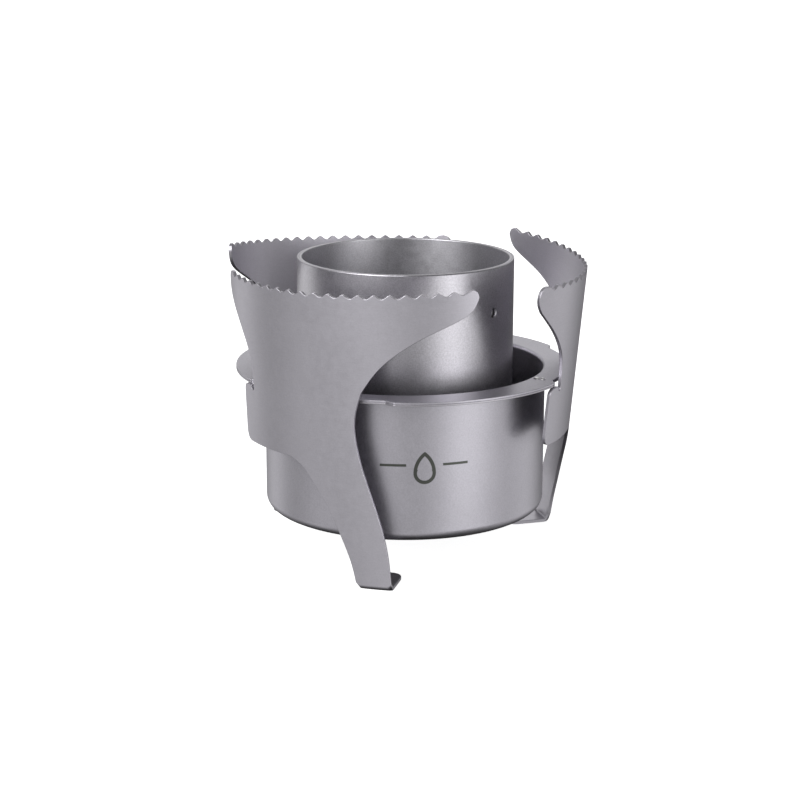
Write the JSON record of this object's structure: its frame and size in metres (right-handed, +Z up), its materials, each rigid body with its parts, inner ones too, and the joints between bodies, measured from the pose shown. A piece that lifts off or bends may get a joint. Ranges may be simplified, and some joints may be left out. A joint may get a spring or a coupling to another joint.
{
  "type": "spirit stove",
  "caption": "Spirit stove with a side-jet burner standing in a shallow pot, hung by its rim on curved support plates with toothed crests and bent-in feet.",
  "frame": {"origin": "on the ground, on the pot's axis", "axes": "+Z up along the pot's axis, -Y towards the front, where the marked side of the pot shows between two support plates"},
  "size_m": [0.0996, 0.1007, 0.0831],
  "materials": {
    "pot_titanium": "bead-blasted titanium, satin",
    "burner_titanium": "bead-blasted titanium, satin",
    "sleeve_titanium": "bead-blasted titanium, satin",
    "support_titanium": "rolled titanium sheet, fine satin",
    "weld_metal": "bright tack weld"
  },
  "bodies": {
    "pot": {"base_pot": "pot_titanium", "rim_ring": "pot_titanium", "tack_welds": "weld_metal"},
    "burner": {"burner_cup": "burner_titanium", "inner_sleeve": "sleeve_titanium"},
    "support_1_body": {"support_1": "support_titanium"},
    "support_2_body": {"support_2": "support_titanium"},
    "support_3_body": {"support_3": "support_titanium"}
  },
  "joints": [
    {"name": "burner_lift", "type": "slide", "parent": "pot", "child": "burner", "axis": [0, 0, 1], "range_m": [0, 0.075]},
    {"name": "support_1_pull", "type": "slide", "parent": "pot", "child": "support_1_body", "axis": [-0.5736, -0.8192, 0], "range_m": [0, 0.03]},
    {"name": "support_2_pull", "type": "slide", "parent": "pot", "child": "support_2_body", "axis": [0.9962, -0.0872, 0], "range_m": [0, 0.03]},
    {"name": "support_3_pull", "type": "slide", "parent": "pot", "child": "support_3_body", "axis": [-0.4226, 0.9063, 0], "range_m": [0, 0.03]}
  ]
}
